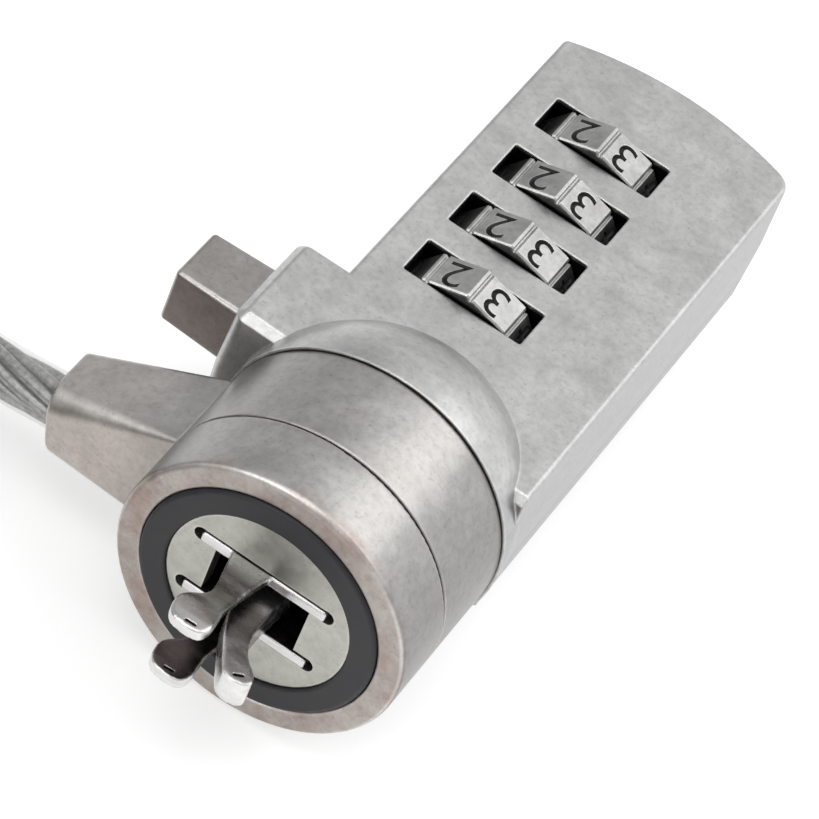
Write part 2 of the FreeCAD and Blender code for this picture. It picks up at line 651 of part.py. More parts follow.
# ---------------------------------------------------------------- code shaft, dials and detents
def make_spindle():
    body = new_body("spindle")
    core = sketch_on(body, "spindle_round", "XZ", "shaft_front")
    circle(core, "dial_x", "dial_z", "shaft_radius")
    doc.recompute()
    pad(body, "spindle_core", core, "journal_front - shaft_front")
    rod_feature(body, "Additive", "journal", "journal_radius", "journal_rear - journal_front + 0.2", "dial_x",
                "journal_front - 0.2", "dial_z")
    nose = sketch_on(body, "nose_face", "XY", "1.5")
    ramp = "ramp_y - (%s - ramp_x) * shaft_travel / button_travel + 0.18"
    outline(nose, [
        ("dial_x - 0.8", ramp % "dial_x + 0 - 0.8"), ("dial_x + 0.8", ramp % "dial_x + 0.8"),
        ("dial_x + 0.8", "shaft_front + 0.5"), ("dial_x - 0.8", "shaft_front + 0.5"),
    ])
    doc.recompute()
    pad(body, "spindle_nose", nose, "1.2")
    lug = sketch_on(body, "lug_face", "XY", "dial_z")
    start = "dial_first - hub_length / 2 + lug_start"
    rectangle(lug, "dial_x - lug_reach", "dial_x + lug_reach", start, start + " + lug_width")
    doc.recompute()
    first = pad(body, "lug", lug, "lug_width", both=True)
    pattern = body.newObject("PartDesign::LinearPattern", "lug_row")
    pattern.Originals = [first]
    pattern.Direction = (lug, ["V_Axis"])
    bind(pattern, "Length", "3 * dial_pitch")
    pattern.Occurrences = 4
    body.Tip = pattern
    doc.recompute()


def make_dial(number):
    """A ten-sided code wheel with a corner at the top, and the hub that it turns on."""
    centre = "dial_first + %d * dial_pitch" % (number - 1)
    body = new_body("dial_%d" % number)
    face = sketch_on(body, "decagon_%d" % number, "XZ", "%s - dial_width / 2" % centre)
    corners = []
    for step in range(10):
        angle = 90 + 36 * step
        corners.append(("dial_x + dial_radius * cos(%ddeg)" % angle,
                        "dial_z + dial_radius * sin(%ddeg)" % angle))
    outline(face, corners)
    circle(face, "dial_x", "dial_z", "hub_outer + 0.05")
    doc.recompute()
    pad(body, "wheel_%d" % number, face, "dial_width")

    def rim_edge(edge):
        return edge.Curve.TypeId == "Part::GeomLine" and edge.BoundBox.YLength < 0.01

    dress(body, "Chamfer", "rim_bevel_%d" % number, rim_edge, "dial_edge")

    hub = new_body("dial_hub_%d" % number)
    front = "%s - hub_length / 2" % centre
    tube = sketch_on(hub, "hub_round_%d" % number, "XZ", front)
    circle(tube, "dial_x", "dial_z", "hub_outer")
    doc.recompute()
    pad(hub, "hub_tube_%d" % number, tube, "hub_length")
    rod_feature(hub, "Subtractive", "hub_recess_%d" % number, "hub_inner", "hub_recess + 1", "dial_x",
                front + " - 1", "dial_z")
    rod_feature(hub, "Subtractive", "hub_bore_%d" % number, "shaft_radius + shaft_clear", "hub_length + 2",
                "dial_x", front + " - 1", "dial_z")
    box_feature(hub, "Subtractive", "keyway_%d" % number, "dial_x - hub_inner", "dial_x + hub_inner",
                front + " - 1", front + " + hub_length + 1", "dial_z - lug_width / 2 - 0.1",
                "dial_z + lug_width / 2 + 0.1")


def make_detents():
    strip = box("comb_strip", "6.6", "6.95", "cavity_front + 3.3", "cavity_rear - 3.4", "dial_z - 2",
                "dial_z + 2")
    solids = [strip]
    for index in range(4):
        y = "dial_first + %d * dial_pitch" % index
        solids.append(box("comb_nose_%d" % index, "4.4", "6.8", y + " - 0.9", y + " + 0.9", "dial_z - 0.35",
                          "dial_z + 0.35"))
    for index, y in enumerate(("cavity_front + 3.3", "cavity_rear - 4.4")):
        solids.append(box("comb_foot_%d" % index, "6.8", "cavity_right - 0.05", y, y + " + 1", "dial_z - 2",
                          "dial_z + 2"))
    keep(fuse("comb", solids), "detent_comb")


def make_cover():
    body = new_body("bottom_cover")
    face = sketch_on(body, "cover_face", "XY", "house_bottom")
    rectangle(face, "cavity_left + cover_gap", "cavity_right - cover_gap", "cavity_front + cover_gap",
              "cavity_rear - cover_gap")
    doc.recompute()
    pad(body, "cover_plate", face, "cover_thick - 0.02")
    screws = []
    for index, (x, y) in enumerate(SCREWS):
        rod_feature(body, "Subtractive", "cover_hole_%d" % index, "0.7", "3", x, y, "house_bottom - 1", "+Z")
        seat = body.newObject("PartDesign::SubtractiveCone", "cover_sink_%d" % index)
        bind(seat, "Radius1", "1.17")
        bind(seat, "Radius2", "0.7")
        bind(seat, "Height", "0.6")
        place(seat, x, y, "house_bottom")
        body.Tip = seat
        doc.recompute()
        head = cone("screw_head_%d" % index, "1.12", "0.58", "0.6", x, y, "house_bottom + 0.04")
        shank = rod("screw_shank_%d" % index, "0.58", "3.4", x, y, "house_bottom + 0.5", "+Z")
        recess = rod("screw_recess_%d" % index, "0.4", "0.5", x, y, "house_bottom - 0.1", "+Z")
        screws.append(cut("screw_%d" % index, fuse("screw_blank_%d" % index, [head, shank]), recess))
    keep(group("screws", screws), "cover_screws")


# ---------------------------------------------------------------- springs
def helix_spring(name, radius, wire, turns, length, where, turn):
    """A round-wire compression spring with a whole number of turns, its axis turned from +Z."""
    path = Part.makeHelix(length / turns, length, radius)
    start = path.Edges[0].valueAt(path.Edges[0].FirstParameter)
    right, up = V(wire, 0, 0), V(0, 0, wire)
    upper = Part.Arc(start + right, start + up, start - right).toShape()
    lower = Part.Arc(start - right, start - up, start + right).toShape()
    profile = Part.Wire([upper, lower])
    shape = Part.Wire(path.Edges).makePipeShell([profile], True, True)
    spring = doc.addObject("Part::Feature", name)
    spring.Shape = shape
    spring.Placement = FreeCAD.Placement(where, turn)
    return keep(spring, name)


def make_springs():
    knob_edge = size("knob_x") + size("knob_radius")
    helix_spring("hook_spring", 0.85, 0.25, 9, size("chamber_right") - knob_edge - 0.6,
                 V(knob_edge + 0.3, size("knob_y"), 0), TURNS["+X"])
    helix_spring("spindle_spring", size("journal_radius") + 0.4, 0.3, 3,
                 size("cavity_rear") - size("journal_front") - 0.6,
                 V(size("dial_x"), size("journal_front") + 0.3, size("dial_z")), TURNS["+Y"])


# ---------------------------------------------------------------- cable, coil, ties and eye
def rounded_path(points):
    """Straight runs joined by tangent arcs as large as the runs allow. Gives the wire and the arc radii."""
    edges = []
    radii = []
    here = points[0]
    for before, corner, after in zip(points, points[1:], points[2:]):
        run_in = corner - before
        run_out = after - corner
        half_turn = run_in.getAngle(run_out) / 2
        reach = 0.45 * min(run_in.Length, run_out.Length)
        radii.append(reach / math.tan(half_turn))
        way_in = V(run_in).normalize()
        way_out = V(run_out).normalize()
        start = corner - way_in * reach
        stop = corner + way_out * reach
        inward = (way_out - way_in).normalize()
        centre = corner + inward * (radii[-1] / math.cos(half_turn))
        middle = centre - inward * radii[-1]
        edges.append(Part.LineSegment(here, start).toShape())
        edges.append(Part.Arc(start, middle, stop).toShape())
        here = stop
    edges.append(Part.LineSegment(here, points[-1]).toShape())
    return Part.Wire(edges), radii


def boss_point(reach, y):
    """A point on the boss axis at a distance from the nose axis."""
    tilt = math.radians(size("boss_tilt"))
    return V(-reach * math.cos(tilt), y, -reach * math.sin(tilt))


def make_cable():
    radius, coil_x, coil_y = size("cable_radius"), size("coil_x"), size("coil_y")
    turn, floor = size("coil_turn"), size("floor")
    low = floor + size("tie_thick") + radius + 0.1
    y = size("cable_y")
    points = [
        boss_point(size("ferrule_end"), y),
        boss_point(size("boss_reach") + 1.8, y),
        V(-29.5, y + 0.9, -6.3),
        V(-38.0, y + 2.1, -7.6),
        V(-48.0, coil_y + turn + 0.05, low - 0.05),
        V(coil_x, coil_y + turn, low),
    ]
    wire, radii = rounded_path(points)
    print("cable radii", [round(value, 1) for value in radii])
    swept_tube("cable", wire, points[0])

    pitch = size("coil_pitch")
    inner = "coil_turn - 2 * coil_pitch - cable_radius"
    bottom = "floor + tie_thick + 0.1"
    height = "4 * coil_pitch"
    outer_rod = rod("coil_outer", "coil_turn + cable_radius", height, "coil_x", "coil_y", bottom, "+Z")
    inner_rod = rod("coil_inner_hole", inner, height + " + 2", "coil_x", "coil_y", bottom + " - 1", "+Z")
    ring = cut("coil_ring", outer_rod, inner_rod)
    keep(ring, "cable_coil")

    ties = []
    for index, angle in enumerate((200, 320, 80)):
        outer = doc.addObject("Part::Box", "tie_outer_%d" % index)
        hole = doc.addObject("Part::Box", "tie_hole_%d" % index)
        across = "2 * coil_pitch + 2 * cable_radius + 0.2"
        bind(outer, "Length", across + " + 2 * tie_thick")
        bind(outer, "Width", "tie_width")
        bind(outer, "Height", height + " + 0.2 + 2 * tie_thick")
        bind(hole, "Length", across)
        bind(hole, "Width", "tie_width + 2")
        bind(hole, "Height", height + " + 0.2")
        turn_z = FreeCAD.Rotation(V(0, 0, 1), angle)
        near_edge = turn - 2 * pitch - radius - 0.1
        thick, wide = size("tie_thick"), size("tie_width")
        centre = V(coil_x, coil_y, 0)
        outer.Placement = FreeCAD.Placement(
            centre + turn_z.multVec(V(near_edge - thick, -wide / 2, 0)) + V(0, 0, floor), turn_z)
        hole.Placement = FreeCAD.Placement(
            centre + turn_z.multVec(V(near_edge, -wide / 2 - 1, 0)) + V(0, 0, floor + thick), turn_z)
        ties.append(cut("tie_%d" % index, outer, hole))
    keep(group("ties", ties), "coil_ties")


def swept_tube(name, wire, first_point):
    """A round tube of the cable's own radius along a wire."""
    radius = size("cable_radius")
    start = wire.Edges[0]
    profile = Part.Wire(Part.makeCircle(radius, first_point, start.tangentAt(start.FirstParameter)))
    shape = wire.makePipeShell([profile], True, True)
    print("%s length %.1f volume %.1f of %.1f" % (
        name, wire.Length, shape.Volume, math.pi * radius ** 2 * wire.Length))
    tube = doc.addObject("Part::Feature", name + "_tube")
    tube.Shape = shape
    return keep(tube, name)


def make_eye():
    """The cable's far end: a half turn on top of the coil, a pressed ferrule and the closed eye."""
    half = size("eye_half")
    x, y = size("coil_x"), size("coil_y")
    top = size("floor") + size("tie_thick") + 0.1 + 4 * size("coil_pitch")
    z = top + size("tie_thick") + size("cable_radius") + 0.2
    bend = size("tail_radius")
    side = bend * math.tan(math.pi / 8)
    track = size("coil_turn") - size("coil_pitch")
    axis_y = y + track - 2 * bend
    turn_x = x - 12.0 - side
    middle_y = y + track - bend
    points = [
        V(x + 19.0, y + 18.5, z - 5.4),
        V(x + 6.0, y + track, z - 1.6),
        V(turn_x + side, y + track + 0.6, z),
        V(turn_x - side, y + track, z),
        V(turn_x - bend, middle_y + side, z),
        V(turn_x - bend, middle_y - side, z),
        V(turn_x - side, axis_y, z),
        V(x - 12.0, axis_y, z),
    ]
    wire, radii = rounded_path(points)
    print("tail radii", [round(value, 1) for value in radii])
    swept_tube("cable_tail", wire, points[0])

    near = size("cable_radius") + 0.25
    points = [
        V(x, axis_y - near, z),
        V(x + 5.0, axis_y - near - 1.6, z),
        V(x + 11.0, axis_y - half, z),
        V(x + size("eye_length"), axis_y - half, z),
    ]
    mirrored = [V(point.x, 2 * axis_y - point.y, z) for point in reversed(points)]
    wire_in, radii = rounded_path(points)
    wire_out, _ = rounded_path(mirrored)
    far = V(x + size("eye_length") + half, axis_y, z)
    bend_edge = Part.Arc(points[-1], far, mirrored[0]).toShape()
    swept_tube("cable_eye", Part.Wire(wire_in.Edges + [bend_edge] + wire_out.Edges), points[0])

    length = size("eye_ferrule_length")
    block = Part.makeBox(length, 9.4, 5.6, V(x - length, axis_y - 4.7, z - 2.8))
    lengthwise = [edge for edge in block.Edges if abs(edge.tangentAt(0).x) > 0.99]
    ferrule = doc.addObject("Part::Feature", "eye_sleeve")
    ferrule.Shape = block.makeFillet(2.2, lengthwise)
    keep(ferrule, "eye_ferrule")


# ---------------------------------------------------------------- build, check and write
def make_all():
    make_housing()
    make_front_ring()
    make_washer()
    make_face_disc()
    make_collar()
    make_carrier()
    make_plate("upper_hook", "0 +")
    make_plate("lower_hook", "0 -")
    make_centre_hook()
    make_pivot()
    make_button()
    make_spindle()
    for number in range(1, 5):
        make_dial(number)
    make_detents()
    make_cover()
    make_springs()
    make_cable()
    make_eye()
    doc.recompute()


make_all()

for item in doc.Objects:
    if "Invalid" in item.State or "Error" in item.State:
        raise RuntimeError("%s failed: %s" % (item.Name, item.State))
for item in PARTS:
    if item.Shape.isNull() or not item.Shape.isValid() or not item.Shape.Solids:
        raise RuntimeError("%s has no good shape" % item.Label)
for item in PARTS:
    item.Shape.exportStep("parts/%s.step" % item.Label)
    limits = item.Shape.BoundBox
    print("%-16s solids %d volume %9.2f  x %7.2f %7.2f  y %7.2f %7.2f  z %7.2f %7.2f" % (
        item.Label, len(item.Shape.Solids), item.Shape.Volume, limits.XMin, limits.XMax, limits.YMin,
        limits.YMax, limits.ZMin, limits.ZMax))
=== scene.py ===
import math

import bmesh
import bpy
from mathutils import Matrix, Vector


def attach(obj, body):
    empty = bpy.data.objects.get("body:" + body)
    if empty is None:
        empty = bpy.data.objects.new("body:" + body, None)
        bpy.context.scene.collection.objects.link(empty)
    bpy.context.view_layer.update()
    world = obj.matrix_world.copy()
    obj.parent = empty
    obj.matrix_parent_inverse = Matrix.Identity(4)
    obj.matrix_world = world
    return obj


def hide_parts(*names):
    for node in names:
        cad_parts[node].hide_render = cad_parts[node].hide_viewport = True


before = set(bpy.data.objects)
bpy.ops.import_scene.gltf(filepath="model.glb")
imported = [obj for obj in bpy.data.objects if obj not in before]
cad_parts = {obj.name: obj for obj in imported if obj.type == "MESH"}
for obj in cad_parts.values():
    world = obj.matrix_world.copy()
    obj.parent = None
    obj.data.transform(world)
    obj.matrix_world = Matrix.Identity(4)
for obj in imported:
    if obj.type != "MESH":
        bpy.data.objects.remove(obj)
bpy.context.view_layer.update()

MM = 0.001
FLOOR_Z = -11.2 * MM
scene = bpy.context.scene


# ---------------------------------------------------------------- camera
def make_camera():
    data = bpy.data.cameras.new("camera")
    data.sensor_width = 36.0
    data.lens = 208.5
    data.clip_start = 0.01
    data.clip_end = 10.0
    camera = bpy.data.objects.new("camera", data)
    right = Vector((0.82332, 0.49430, 0.27894))
    up = Vector((-0.54719, 0.56077, 0.62139))
    back = Vector((0.15073, -0.66423, 0.73217))
    turn = Matrix((right, up, back)).transposed().to_4x4()
    camera.matrix_world = Matrix.Translation(Vector((48.125, -194.016, 237.959)) * MM) @ turn
    scene.collection.objects.link(camera)
    scene.camera = camera


make_camera()

# ---------------------------------------------------------------- cable route, metres
CABLE_R = 2.1
COIL = Vector((-58.0, -18.0))
TRACKS = (29.4, 25.2, 21.0)
LOW = -8.5
LAYER = 4.2
STEPS = 16
TOP_Z = 9.2


def boss_point(reach, y):
    tilt = math.radians(12.8)
    return Vector((-reach * math.cos(tilt), y, -reach * math.sin(tilt)))


def coil_points():
    """Control points of the wound turns: each turn keeps its track, then steps aside or up near its end."""
    track_turns = [(0, 0), (1, 0), (2, 0), (2, 1), (1, 1), (0, 1), (0, 2), (1, 2), (2, 2), (2, 3), (1, 3)]
    grow = 1.0 / (0.5 + 0.5 * math.cos(math.pi / STEPS))
    points = []
    for number, (track, layer) in enumerate(track_turns):
        radius, z = TRACKS[track], LOW + layer * LAYER
        if number + 1 < len(track_turns):
            next_track, next_layer = track_turns[number + 1]
        else:
            next_track, next_layer = track, layer
        radius_to, z_to = TRACKS[next_track], LOW + next_layer * LAYER
        for step in range(STEPS):
            share = max(0.0, (step - STEPS * 0.62) / (STEPS * 0.38))
            ease = share * share * (3 - 2 * share)
            here = (radius + (radius_to - radius) * ease) * grow
            angle = math.pi / 2 + 2 * math.pi * step / STEPS
            points.append(Vector((
                COIL.x + here * math.cos(angle), COIL.y + here * math.sin(angle), z + (z_to - z) * ease)))
    return points


def cable_route():
    y = 8.75
    route = [
        boss_point(14.0, y),
        boss_point(22.2, y),
        Vector((-29.5, y + 0.9, -6.3)),
        Vector((-38.0, y + 2.1, -7.6)),
        Vector((-48.0, COIL.y + TRACKS[0] + 0.3, LOW - 0.05)),
    ]
    route += coil_points()
    x = COIL.x
    bend = 17.0
    side = bend * math.tan(math.pi / 8)
    north = COIL.y + TRACKS[1]
    turn_x = x - 12.0 - side
    route += [
        Vector((x - 1.0, north + 0.5, 5.1)),
        Vector((x - 10.0, north + 1.0, TOP_Z - 0.7)),
        Vector((turn_x + side, north + 0.8, TOP_Z)),
        Vector((turn_x - side, north, TOP_Z)),
        Vector((turn_x - bend, north - bend + side, TOP_Z)),
        Vector((turn_x - bend, north - bend - side, TOP_Z)),
        Vector((turn_x - side, north - 2 * bend, TOP_Z)),
        Vector((x - 12.0, north - 2 * bend, TOP_Z)),
    ]
    return [point * MM for point in route]


def spline_curve(name, points, radius, closed=False):
    data = bpy.data.curves.new(name, "CURVE")
    data.dimensions = "3D"
    spline = data.splines.new("NURBS")
    spline.points.add(len(points) - 1)
    for control, point in zip(spline.points, points):
        control.co = (point.x, point.y, point.z, 1.0)
        control.radius = radius
    spline.order_u = 3
    spline.use_endpoint_u = not closed
    spline.resolution_u = 4
    data.resolution_u = 4
    data.bevel_depth = 1.0
    data.bevel_resolution = 5
    data.use_fill_caps = True
    piece = bpy.data.objects.new(name, data)
    scene.collection.objects.link(piece)
    return piece


def follow_points(piece):
    """The points of a curve's own centreline."""
    data = piece.data
    kept = data.bevel_depth
    data.bevel_depth = 0.0
    data.use_fill_caps = False
    bpy.context.view_layer.update()
    graph = bpy.context.evaluated_depsgraph_get()
    mesh = bpy.data.meshes.new_from_object(piece.evaluated_get(graph), depsgraph=graph)
    points = [vertex.co.copy() for vertex in mesh.vertices]
    bpy.data.meshes.remove(mesh)
    data.bevel_depth = kept
    data.use_fill_caps = True
    return points


def resampled(points, gap):
    """Points at an even gap along a line of points."""
    out = [points[0].copy()]
    want = gap
    run = 0.0
    for a, b in zip(points, points[1:]):
        length = (b - a).length
        while length > 0 and run + length >= want:
            out.append(a.lerp(b, (want - run) / length))
            want += gap
        run += length
    out.append(points[-1].copy())
    return out


def add_mesh(name, vertices, faces, smooth=True):
    mesh = bpy.data.meshes.new(name)
    mesh.from_pydata([tuple(v) for v in vertices], [], faces)
    mesh.update()
    if smooth:
        mesh.polygons.foreach_set("use_smooth", [True] * len(mesh.polygons))
    piece = bpy.data.objects.new(name, mesh)
    scene.collection.objects.link(piece)
    return piece


def twisted_strands(name, line, wires=9, offset=1.36, radius=0.47, lay=36.0, core=1.0, sides=8):
    """A rope of round wires laid round a core, along a line of points in metres."""
    line = resampled(line, 1.0 * MM)
    count = len(line)
    normal = Vector((0, 0, 1))
    frames = []
    travelled = 0.0
    for index, point in enumerate(line):
        ahead = line[min(index + 1, count - 1)]
        behind = line[max(index - 1, 0)]
        way = (ahead - behind).normalized()
        normal = (normal - way * normal.dot(way)).normalized()
        if index:
            travelled += (point - line[index - 1]).length
        frames.append((point, normal.copy(), way.cross(normal), travelled))
    vertices, faces = [], []
    strands = [(offset, radius, number / wires) for number in range(wires)]
    if core:
        strands.append((0.0, core, 0.0))
    for out, thick, phase in strands:
        base = len(vertices)
        for point, first, second, along in frames:
            angle = 2 * math.pi * (phase + along / (lay * MM))
            centre = point + (first * math.cos(angle) + second * math.sin(angle)) * out * MM
            for side in range(sides):
                turn = 2 * math.pi * side / sides
                vertices.append(centre + (first * math.cos(turn) + second * math.sin(turn)) * thick * MM)
        for index in range(count - 1):
            for side in range(sides):
                a = base + index * sides + side
                b = base + index * sides + (side + 1) % sides
                faces.append((a, b, b + sides, a + sides))
        faces.append(tuple(base + side for side in reversed(range(sides))))
        faces.append(tuple(base + (count - 1) * sides + side for side in range(sides)))
    return add_mesh(name, vertices, faces)


def make_cable():
    route = cable_route()
    jacket = spline_curve("cable_jacket", route, CABLE_R * MM)
    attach(jacket, "cable_collar")
    line = follow_points(jacket)
    strands = twisted_strands("cable_strands", line)
    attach(strands, "cable_collar")

    x, axis_y, half = COIL.x, COIL.y + TRACKS[1] - 34.0, 17.5
    near = CABLE_R + 0.25
    low_side = [
        (x - 6.0, -near), (x, -near), (x + 3.5, -near - 0.9), (x + 8.0, -near - 8.5), (x + 13.0, -half + 0.4),
        (x + 21.0, -half - 0.3), (x + 29.0, -half + 3.4), (x + 34.6, -half + 9.6),
    ]
    loop = low_side + [(x + 36.2, 0.0)] + [(px, -py) for px, py in reversed(low_side)]
    points = [Vector((px, axis_y + py, TOP_Z)) * MM for px, py in loop]
    eye = spline_curve("eye_jacket", points, CABLE_R * MM)
    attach(eye, "cable_collar")
    eye_strands = twisted_strands("eye_strands", follow_points(eye))
    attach(eye_strands, "cable_collar")
    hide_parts("cable", "cable_coil", "cable_tail")
    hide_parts("cable_eye")
    return jacket, strands, eye, eye_strands


CABLE_PIECES = make_cable()


# ---------------------------------------------------------------- materials
class Paint:
    """A small wrapper round a material's node tree."""

    def __init__(self, name):
        self.material = bpy.data.materials.new(name)
        self.material.use_nodes = True
        self.tree = self.material.node_tree
        self.shader = self.tree.nodes["Principled BSDF"]
        self.coordinates = self.tree.nodes.new("ShaderNodeTexCoord")

    def set(self, **values):
        for key, value in values.items():
            self.shader.inputs[key.replace("_", " ")].default_value = value

    def node(self, kind, **values):
        made = self.tree.nodes.new(kind)
        for key, value in values.items():
            if key in made.inputs:
                made.inputs[key].default_value = value
            else:
                setattr(made, key, value)
        return made

    def link(self, source, target):
        self.tree.links.new(source, target)

    def noise(self, scale, detail=3.0, roughness=0.55, distortion=0.0, stretch=None):
        made = self.node("ShaderNodeTexNoise")
        made.inputs["Scale"].default_value = scale
        made.inputs["Detail"].default_value = detail
        made.inputs["Roughness"].default_value = roughness
        made.inputs["Distortion"].default_value = distortion
        if stretch:
            mapping = self.node("ShaderNodeMapping")
            mapping.inputs["Scale"].default_value = stretch
            self.link(self.coordinates.outputs["Object"], mapping.inputs["Vector"])
            self.link(mapping.outputs["Vector"], made.inputs["Vector"])
        else:
            self.link(self.coordinates.outputs["Object"], made.inputs["Vector"])
        return made.outputs["Fac"]

    def ramp(self, source, stops):
        made = self.node("ShaderNodeValToRGB")
        elements = made.color_ramp.elements
        while len(elements) < len(stops):
            elements.new(0.5)
        for element, (position, colour) in zip(elements, stops):
            element.position = position
            element.color = (*colour, 1.0)
        self.link(source, made.inputs["Fac"])
        return made.outputs["Color"]

    def span(self, source, low, high, to_low, to_high):
        made = self.node("ShaderNodeMapRange")
        made.inputs["From Min"].default_value = low
        made.inputs["From Max"].default_value = high
        made.inputs["To Min"].default_value = to_low
        made.inputs["To Max"].default_value = to_high
        self.link(source, made.inputs["Value"])
        return made.outputs["Result"]

    def mix(self, factor, first, second, mode="MIX"):
        made = self.node("ShaderNodeMix")
        made.data_type = "RGBA"
        made.blend_type = mode
        if isinstance(factor, float):
            made.inputs[0].default_value = factor
        else:
            self.link(factor, made.inputs[0])
        for socket, value in ((made.inputs[6], first), (made.inputs[7], second)):
            if isinstance(value, tuple):
                socket.default_value = (*value, 1.0)
            else:
                self.link(value, socket)
        return made.outputs[2]

    def bump(self, source, strength, distance, under=None):
        made = self.node("ShaderNodeBump")
        made.inputs["Strength"].default_value = strength
        made.inputs["Distance"].default_value = distance
        self.link(source, made.inputs["Height"])
        if under is not None:
            self.link(under, made.inputs["Normal"])
        return made.outputs["Normal"]

    def finish(self, colour=None, roughness=None, normal=None):
        if colour is not None:
            self.link(colour, self.shader.inputs["Base Color"])
        if roughness is not None:
            self.link(roughness, self.shader.inputs["Roughness"])
        if normal is not None:
            self.link(normal, self.shader.inputs["Normal"])
        return self.material


def inside_dark(paint, colour, box):
    """Painted shade: darken what lies inside a box of (low, high) corners, the housing's cavity."""
    place = paint.node("ShaderNodeSeparateXYZ")
    paint.link(paint.coordinates.outputs["Object"], place.inputs["Vector"])
    share = None
    for axis, low, high in zip("XYZ", box[0], box[1]):
        middle, half = (low + high) / 2 * MM, (high - low) / 2 * MM
        away = paint.node("ShaderNodeMath", operation="SUBTRACT")
        paint.link(place.outputs[axis], away.inputs[0])
        away.inputs[1].default_value = middle
        size = paint.node("ShaderNodeMath", operation="ABSOLUTE")
        paint.link(away.outputs["Value"], size.inputs[0])
        within = paint.span(size.outputs["Value"], half - 0.02 * MM, half + 0.04 * MM, 1.0, 0.0)
        if share is None:
            share = within
            continue
        both = paint.node("ShaderNodeMath", operation="MULTIPLY")
        paint.link(share, both.inputs[0])
        paint.link(within, both.inputs[1])
        share = both.outputs["Value"]
    return paint.mix(share, colour, (0.10, 0.10, 0.10), "MULTIPLY")


def worn_edges(paint, radius, share):
    """How far a point lies on an edge brightened part by wear and part as painted highlight, from 0 on a face
    to share on the edge itself.
    """
    rounded = paint.node("ShaderNodeBevel")
    rounded.samples = 4
    rounded.inputs["Radius"].default_value = radius * MM
    shape = paint.node("ShaderNodeNewGeometry")
    bend = paint.node("ShaderNodeVectorMath", operation="DOT_PRODUCT")
    paint.link(rounded.outputs["Normal"], bend.inputs[0])
    paint.link(shape.outputs["Normal"], bend.inputs[1])
    rubbed_and_lit = paint.node("ShaderNodeMath", operation="MULTIPLY")
    paint.link(paint.span(bend.outputs["Value"], 0.84, 0.97, share, 0.0), rubbed_and_lit.inputs[0])
    paint.link(paint.span(paint.noise(900.0, detail=4.0), 0.35, 0.60, 0.35, 1.0), rubbed_and_lit.inputs[1])
    return rubbed_and_lit.outputs["Value"]


